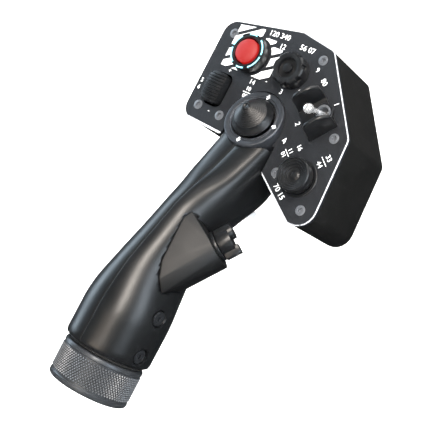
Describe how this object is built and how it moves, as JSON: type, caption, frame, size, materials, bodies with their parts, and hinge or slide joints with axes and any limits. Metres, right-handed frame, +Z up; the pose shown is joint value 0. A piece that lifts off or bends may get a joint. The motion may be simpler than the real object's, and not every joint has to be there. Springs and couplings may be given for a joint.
{
  "type": "flight control grip",
  "caption": "Collective-style flight grip: a control head with thumb hats, toggle, rocker, knob and guarded red button on a leaning two-shell grip with a knurled locking collar.",
  "frame": {"origin": "centre of the locking collar's lower face, on the spigot's axis", "axes": "+Z up the collar and the spigot towards the head, the control panel faces -Y, +X is to the panel's right"},
  "size_m": [0.1155, 0.1053, 0.2359],
  "materials": {
    "collar_metal": "anodised gunmetal, knurled",
    "grip_plastic": "satin moulded",
    "housing_plastic": "fine textured black",
    "panel_plastic": "charcoal fine texture",
    "control_plastic": "satin moulded",
    "red_plastic": "satin red",
    "bright_steel": "polished",
    "screw_steel": "zinc plated",
    "black_rubber": "matt",
    "alloy": "turned",
    "board_green": "solder mask",
    "contact_brass": "gold flashed",
    "switch_black": "moulded"
  },
  "bodies": {
    "grip": {"wiper_ring": "black_rubber", "base_adapter": "alloy", "connector_shell": "bright_steel", "connector_insert": "switch_black", "connector_pins": "contact_brass", "grip_shell_left": "grip_plastic", "grip_shell_right": "grip_plastic", "grip_screws": "screw_steel", "lever_pod": "grip_plastic", "pod_collar": "control_plastic", "lever_sensor": "board_green", "rear_switch": "switch_black", "neck_bracket": "alloy", "bracket_screws": "screw_steel", "head_housing": "housing_plastic", "face_plate": "panel_plastic", "panel_screws": "bright_steel", "button_guard": "control_plastic", "guard_nut": "screw_steel", "button_spring": "screw_steel", "button_switch": "switch_black", "rotary_encoder": "screw_steel", "rotary_nut": "screw_steel", "rocker_pin": "screw_steel", "rocker_switch": "switch_black", "dial_ring": "control_plastic", "trim_hat_cup": "switch_black", "lower_hat_bezel": "control_plastic", "lower_hat_cup": "switch_black", "toggle_pin": "screw_steel", "toggle_bushing": "bright_steel", "toggle_nut": "bright_steel", "toggle_guard": "housing_plastic", "toggle_switch": "switch_black", "main_board": "board_green", "board_parts": "switch_black", "board_screws": "screw_steel", "wiring_loom": "black_rubber"},
    "collar": {"locking_collar": "collar_metal"},
    "finger_lever": {"finger_lever": "control_plastic", "lever_shaft": "screw_steel"},
    "rear_button": {"rear_button": "alloy"},
    "red_button": {"red_button": "red_plastic"},
    "rotary_knob": {"rotary_knob": "control_plastic", "rotary_shaft": "screw_steel"},
    "trim_rocker": {"trim_rocker": "control_plastic"},
    "trim_gimbal": {"trim_hat_gimbal": "alloy"},
    "trim_yoke": {"trim_hat_yoke": "alloy"},
    "trim_cap": {"trim_hat_cap": "control_plastic"},
    "lower_gimbal": {"lower_hat_gimbal": "alloy"},
    "lower_yoke": {"lower_hat_yoke": "alloy"},
    "lower_cap": {"lower_hat_cap": "control_plastic"},
    "toggle": {"toggle_bat": "bright_steel"}
  },
  "joints": [
    {"name": "collar_turn", "type": "hinge", "parent": "grip", "child": "collar", "pos_m": [0, 0, 0.01], "axis": [0, 0, 1], "continuous": true},
    {"name": "finger_lever_turn", "type": "hinge", "parent": "grip", "child": "finger_lever", "pos_m": [0.02491, 0.0122, 0.103], "axis": [0.528, 0.2241, 0.8192], "range_deg": [-20, 20], "stiffness_Nm_per_rad": 0.05},
    {"name": "rear_button_press", "type": "slide", "parent": "grip", "child": "rear_button", "axis": [0, -1, 0], "range_m": [0, 0.0012], "stiffness_N_per_m": 1500},
    {"name": "red_button_press", "type": "slide", "parent": "grip", "child": "red_button", "axis": [0, 1, 0], "range_m": [0, 0.0025], "stiffness_N_per_m": 1200, "deforming": ["button_spring"]},
    {"name": "rotary_knob_turn", "type": "hinge", "parent": "grip", "child": "rotary_knob", "pos_m": [0.0076, 0.027, 0.2115], "axis": [0, -1, 0], "range_deg": [-150, 150]},
    {"name": "trim_rocker_tilt", "type": "hinge", "parent": "grip", "child": "trim_rocker", "pos_m": [-0.036, 0.031, 0.186], "axis": [1, 0, 0], "range_deg": [-10, 10], "stiffness_Nm_per_rad": 0.3},
    {"name": "trim_hat_pitch", "type": "hinge", "parent": "grip", "child": "trim_gimbal", "pos_m": [0, 0.02541, 0.17727], "axis": [1, 0, 0], "range_deg": [-6, 6], "stiffness_Nm_per_rad": 0.5},
    {"name": "trim_hat_roll", "type": "hinge", "parent": "trim_gimbal", "child": "trim_yoke", "pos_m": [0, 0.02541, 0.17727], "axis": [0, 0.2419, 0.9703], "range_deg": [-6, 6], "stiffness_Nm_per_rad": 0.5},
    {"name": "trim_hat_push", "type": "slide", "parent": "trim_yoke", "child": "trim_cap", "axis": [0, 0.9703, -0.2419], "range_m": [0, 0.0008], "stiffness_N_per_m": 1500},
    {"name": "lower_hat_pitch", "type": "hinge", "parent": "grip", "child": "lower_gimbal", "pos_m": [0.043, 0.0315, 0.158], "axis": [1, 0, 0], "range_deg": [-6, 6], "stiffness_Nm_per_rad": 0.5},
    {"name": "lower_hat_roll", "type": "hinge", "parent": "lower_gimbal", "child": "lower_yoke", "pos_m": [0.043, 0.0315, 0.158], "axis": [0, 0, 1], "range_deg": [-6, 6], "stiffness_Nm_per_rad": 0.5},
    {"name": "lower_hat_push", "type": "slide", "parent": "lower_yoke", "child": "lower_cap", "axis": [0, 1, 0], "range_m": [0, 0.0006], "stiffness_N_per_m": 1500},
    {"name": "toggle_throw", "type": "hinge", "parent": "grip", "child": "toggle", "pos_m": [0.039, 0.03, 0.1965], "axis": [-0.766, 0, 0.6428], "range_deg": [0, 24]}
  ]
}
